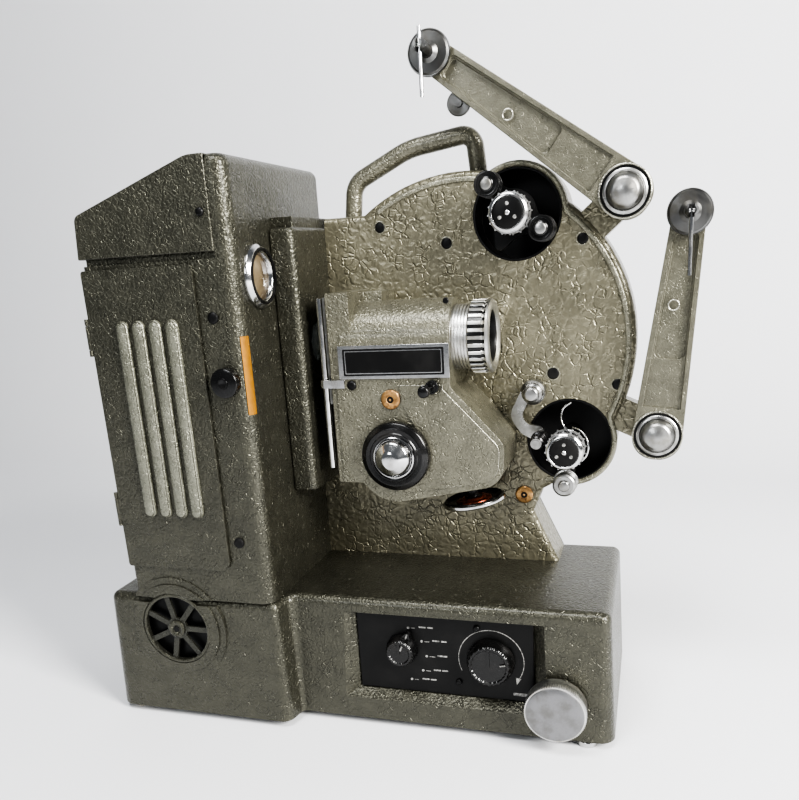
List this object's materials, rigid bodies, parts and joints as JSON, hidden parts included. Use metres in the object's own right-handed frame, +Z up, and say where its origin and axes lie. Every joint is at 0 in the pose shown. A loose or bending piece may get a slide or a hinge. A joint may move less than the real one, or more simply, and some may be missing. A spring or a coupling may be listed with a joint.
{
  "type": "film projector",
  "caption": "Table-top cine film projector with louvred lamp house, film gate and lens, sprocket drive on a round side casting and two folding reel arms.",
  "frame": {"origin": "on the table surface, under the middle of the whole projector", "axes": "+X the way the picture is thrown, +Y from the working side to the back, +Z up"},
  "size_m": [0.4078, 0.157, 0.446],
  "materials": {
    "hammertone": "green-grey hammer-finish enamel on an aluminium casting",
    "hammertone_dark": "darker green-grey hammer-finish enamel on aluminium",
    "black_bakelite": "polished black moulding",
    "black_paint": "satin black enamel",
    "chrome": "bright plated",
    "aluminium": "turned and brushed",
    "steel": "ground steel",
    "rubber": "pale rubber",
    "glass": "clear optical glass",
    "warm_glass": "frosted, slightly amber",
    "belt": "black belt"
  },
  "bodies": {
    "projector_body": {"base_casting": "hammertone_dark", "base_plate": "black_paint", "rubber_feet": "rubber", "control_panel": "black_paint", "fan_grille": "hammertone_dark", "mains_inlet": "black_bakelite", "lamp_house": "hammertone_dark", "lamp_house_cap": "hammertone", "lamp_reflector": "chrome", "bulls_eye_ring": "hammertone_dark", "bulls_eye_glass": "warm_glass", "condenser_box": "hammertone_dark", "condenser_lenses": "glass", "main_casting": "hammertone", "rear_cover": "hammertone_dark", "carry_handle": "hammertone", "upper_cup": "black_paint", "lower_cup": "black_paint", "gate_casting": "hammertone", "gate_cover": "hammertone", "name_plate": "aluminium", "aperture_plate": "chrome", "pivot_studs": "chrome", "motor": "black_paint", "case_screws": "steel", "drive_belt": "belt"},
    "lamp_door_body": {"lamp_door": "hammertone_dark"},
    "centring_knob": {"lamp_knob": "black_bakelite"},
    "lamp_carriage": {"lamp_holder": "steel", "lamp_bulb": "glass"},
    "motor_rotor": {"motor_shaft": "steel", "fan_wheel": "aluminium"},
    "main_drive": {"main_shaft": "steel", "inching_knob": "black_bakelite", "inching_dome": "chrome"},
    "shutter_blade": {"shutter": "black_paint"},
    "upper_drum": {"upper_sprocket": "chrome"},
    "lower_drum": {"lower_sprocket": "chrome"},
    "gate_latch": {"gate_lever": "black_bakelite"},
    "gate_shoe": {"pressure_plate": "chrome", "gate_rod": "chrome"},
    "lens_body": {"lens_barrel": "aluminium", "lens_glass": "glass"},
    "focus_grip": {"focus_ring": "black_bakelite"},
    "framing_knob": {"framing_wheel": "black_bakelite"},
    "roller_upper_left": {"upper_roller_left": "black_bakelite"},
    "roller_upper_right": {"upper_roller_right": "black_bakelite"},
    "roller_lower": {"lower_roller": "aluminium"},
    "keeper_arm": {"keeper_lever": "aluminium"},
    "roller_keeper": {"keeper_roller": "black_bakelite"},
    "selector": {"selector_knob": "black_bakelite"},
    "speed_control": {"speed_knob": "black_bakelite"},
    "tilt_control": {"tilt_knob": "aluminium"},
    "tilt_feet": {"tilt_yoke": "chrome"},
    "upper_arm": {"upper_reel_arm": "hammertone"},
    "lower_arm": {"lower_reel_arm": "hammertone"},
    "upper_reel_spindle": {"upper_spindle": "chrome"},
    "lower_reel_spindle": {"lower_spindle": "chrome"},
    "upper_wire": {"upper_reel_wire": "chrome"},
    "lower_wire": {"lower_reel_wire": "chrome"}
  },
  "joints": [
    {"name": "lamp_door_hinge", "type": "hinge", "parent": "projector_body", "child": "lamp_door_body", "pos_m": [-0.17761, -0.07195, 0.215], "axis": [0, 0, -1], "range_deg": [0, 110]},
    {"name": "lamp_centring", "type": "hinge", "parent": "projector_body", "child": "centring_knob", "pos_m": [-0.08141, -0.07255, 0.2455], "axis": [0, -1, 0], "range_deg": [-60.1, 60.1]},
    {"name": "lamp_shift", "type": "slide", "parent": "projector_body", "child": "lamp_carriage", "axis": [1, 0, 0], "range_m": [-0.0019, 0.0019]},
    {"name": "motor_spin", "type": "hinge", "parent": "projector_body", "child": "motor_rotor", "pos_m": [0.01109, 0.00745, 0.051], "axis": [0, -1, 0], "continuous": true},
    {"name": "main_spin", "type": "hinge", "parent": "projector_body", "child": "main_drive", "pos_m": [0.00929, 0.00745, 0.1865], "axis": [0, -1, 0], "continuous": true},
    {"name": "shutter_spin", "type": "hinge", "parent": "projector_body", "child": "shutter_blade", "pos_m": [-0.06391, 0.02745, 0.229], "axis": [1, 0, 0], "continuous": true},
    {"name": "upper_sprocket_spin", "type": "hinge", "parent": "projector_body", "child": "upper_drum", "pos_m": [0.08439, 0.02745, 0.336], "axis": [0, -1, 0], "continuous": true},
    {"name": "lower_sprocket_spin", "type": "hinge", "parent": "projector_body", "child": "lower_drum", "pos_m": [0.11849, 0.02745, 0.185], "axis": [0, -1, 0], "continuous": true},
    {"name": "gate_lever_turn", "type": "hinge", "parent": "projector_body", "child": "gate_latch", "pos_m": [0.03659, -0.01755, 0.2325], "axis": [0, -1, 0], "range_deg": [0, 70.1]},
    {"name": "gate_open", "type": "slide", "parent": "projector_body", "child": "gate_shoe", "axis": [-1, 0, 0], "range_m": [0, 0.0039]},
    {"name": "lens_travel", "type": "slide", "parent": "projector_body", "child": "lens_body", "axis": [1, 0, 0], "range_m": [-0.004, 0.004]},
    {"name": "focus_turn", "type": "hinge", "parent": "lens_body", "child": "focus_grip", "pos_m": [0.05849, 0.01045, 0.261], "axis": [1, 0, 0], "range_deg": [-150, 150]},
    {"name": "framing_turn", "type": "hinge", "parent": "projector_body", "child": "framing_knob", "pos_m": [0.05559, 0.01045, 0.146], "axis": [-0.1564, 0, 0.9877], "range_deg": [-60, 60]},
    {"name": "upper_left_roller_spin", "type": "hinge", "parent": "projector_body", "child": "roller_upper_left", "pos_m": [0.07109, 0.01045, 0.3536], "axis": [0, -1, 0], "continuous": true},
    {"name": "upper_right_roller_spin", "type": "hinge", "parent": "projector_body", "child": "roller_upper_right", "pos_m": [0.10419, 0.01045, 0.3256], "axis": [0, -1, 0], "continuous": true},
    {"name": "lower_roller_spin", "type": "hinge", "parent": "projector_body", "child": "roller_lower", "pos_m": [0.11809, 0.01045, 0.1614], "axis": [0, -1, 0], "continuous": true},
    {"name": "keeper_turn", "type": "hinge", "parent": "projector_body", "child": "keeper_arm", "pos_m": [0.09449, 0.02745, 0.22], "axis": [0, 1, 0], "range_deg": [0, 9]},
    {"name": "keeper_roller_spin", "type": "hinge", "parent": "keeper_arm", "child": "roller_keeper", "pos_m": [0.10009, 0.01045, 0.1904], "axis": [0, -1, 0], "continuous": true},
    {"name": "selector_turn", "type": "hinge", "parent": "projector_body", "child": "selector", "pos_m": [0.01429, -0.05255, 0.0576], "axis": [0, 1, 0], "range_deg": [0, 135]},
    {"name": "speed_turn", "type": "hinge", "parent": "projector_body", "child": "speed_control", "pos_m": [0.07549, -0.05255, 0.054], "axis": [0, 1, 0], "range_deg": [-40, 220]},
    {"name": "tilt_turn", "type": "hinge", "parent": "projector_body", "child": "tilt_control", "pos_m": [0.11959, -0.05255, 0.031], "axis": [0, -1, 0], "range_deg": [0, 122]},
    {"name": "tilt_lift", "type": "slide", "parent": "projector_body", "child": "tilt_feet", "axis": [0, 0, -1], "range_m": [0, 0.015]},
    {"name": "upper_arm_fold", "type": "hinge", "parent": "projector_body", "child": "upper_arm", "pos_m": [0.15309, 0.02745, 0.344], "axis": [0, 1, 0], "range_deg": [-15, 60]},
    {"name": "lower_arm_fold", "type": "hinge", "parent": "projector_body", "child": "lower_arm", "pos_m": [0.17659, 0.02745, 0.192], "axis": [0, 1, 0], "range_deg": [0, 90]},
    {"name": "upper_spindle_spin", "type": "hinge", "parent": "upper_arm", "child": "upper_reel_spindle", "pos_m": [0.03489, 0.01745, 0.43307], "axis": [0, -1, 0], "continuous": true},
    {"name": "lower_spindle_spin", "type": "hinge", "parent": "lower_arm", "child": "lower_reel_spindle", "pos_m": [0.19101, 0.01745, 0.32924], "axis": [0, -1, 0], "continuous": true},
    {"name": "upper_wire_fold", "type": "hinge", "parent": "upper_reel_spindle", "child": "upper_wire", "pos_m": [0.03489, -0.00355, 0.43307], "axis": [1, 0, 0], "range_deg": [-80, 25]},
    {"name": "lower_wire_fold", "type": "hinge", "parent": "lower_reel_spindle", "child": "lower_wire", "pos_m": [0.19101, -0.00355, 0.32924], "axis": [1, 0, 0], "range_deg": [-80, 20]}
  ],
  "couplings": [
    {"joint": "motor_spin", "follows": "main_spin", "ratio": 3},
    {"joint": "shutter_spin", "follows": "main_spin", "ratio": 1},
    {"joint": "upper_sprocket_spin", "follows": "main_spin", "ratio": 0.125},
    {"joint": "lower_sprocket_spin", "follows": "main_spin", "ratio": -0.125},
    {"joint": "tilt_lift", "follows": "tilt_turn", "m_per_rad": 0.007}
  ]
}
